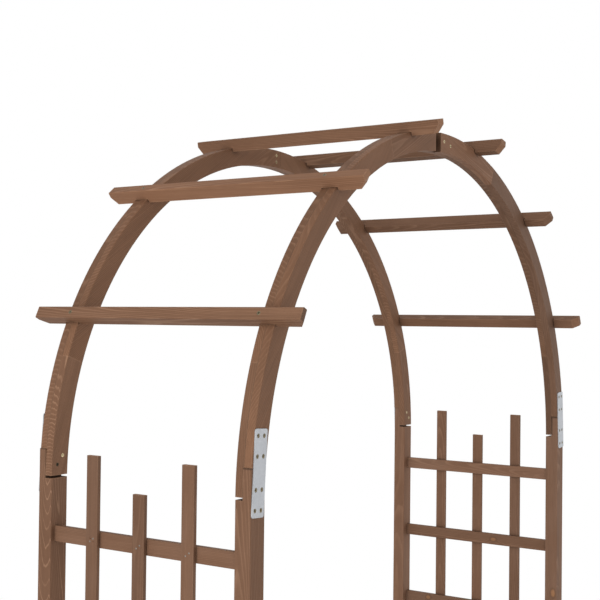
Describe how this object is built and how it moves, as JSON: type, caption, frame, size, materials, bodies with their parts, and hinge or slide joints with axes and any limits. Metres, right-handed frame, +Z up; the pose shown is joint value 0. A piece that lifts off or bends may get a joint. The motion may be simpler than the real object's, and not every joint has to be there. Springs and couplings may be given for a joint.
{
  "type": "garden arbor",
  "caption": "Round-arched wooden garden arbor: trellis side panels carry laminated arches tied by overhanging slats, as a walk-through frame for climbing plants.",
  "frame": {"origin": "on the ground, midway between the posts", "axes": "+Z up, X across the span with the left panel at -X, Y through the walkway with the front at -Y"},
  "size_m": [1.5, 0.65, 2.201],
  "materials": {
    "post_timber": "brown stain on planed softwood",
    "arch_timber": "brown stain on planed softwood",
    "slat_timber": "brown stain on planed softwood",
    "rail_timber": "brown stain on planed softwood",
    "pale_timber": "brown stain on planed softwood",
    "plate_steel": "dull galvanised sheet",
    "screw_steel": "zinc-plated screws and brads"
  },
  "bodies": {
    "root": {"arch_front_left_inner_lower": "arch_timber", "arch_front_left_inner_upper": "arch_timber", "arch_front_left_outer_lower": "arch_timber", "arch_front_left_outer_upper": "arch_timber", "arch_front_right_inner_lower": "arch_timber", "arch_front_right_inner_upper": "arch_timber", "arch_front_right_outer_lower": "arch_timber", "arch_front_right_outer_upper": "arch_timber", "arch_rear_left_inner_lower": "arch_timber", "arch_rear_left_inner_upper": "arch_timber", "arch_rear_left_outer_lower": "arch_timber", "arch_rear_left_outer_upper": "arch_timber", "arch_rear_right_inner_lower": "arch_timber", "arch_rear_right_inner_upper": "arch_timber", "arch_rear_right_outer_lower": "arch_timber", "arch_rear_right_outer_upper": "arch_timber", "crown_lap_screws": "screw_steel", "pale_left_front": "pale_timber", "pale_left_middle": "pale_timber", "pale_left_rear": "pale_timber", "pale_nails": "screw_steel", "pale_right_front": "pale_timber", "pale_right_middle": "pale_timber", "pale_right_rear": "pale_timber", "plate_front_left": "plate_steel", "plate_front_right": "plate_steel", "plate_rear_left": "plate_steel", "plate_rear_right": "plate_steel", "plate_screws": "screw_steel", "post_front_left": "post_timber", "post_front_right": "post_timber", "post_lap_screws": "screw_steel", "post_rear_left": "post_timber", "post_rear_right": "post_timber", "rail_left_1": "rail_timber", "rail_left_2": "rail_timber", "rail_left_3": "rail_timber", "rail_left_4": "rail_timber", "rail_left_5": "rail_timber", "rail_left_6": "rail_timber", "rail_left_7": "rail_timber", "rail_right_1": "rail_timber", "rail_right_2": "rail_timber", "rail_right_3": "rail_timber", "rail_right_4": "rail_timber", "rail_right_5": "rail_timber", "rail_right_6": "rail_timber", "rail_right_7": "rail_timber", "slat_left_low": "slat_timber", "slat_left_middle": "slat_timber", "slat_left_top": "slat_timber", "slat_right_low": "slat_timber", "slat_right_middle": "slat_timber", "slat_right_top": "slat_timber", "slat_screws": "screw_steel"}
  },
  "joints": []
}
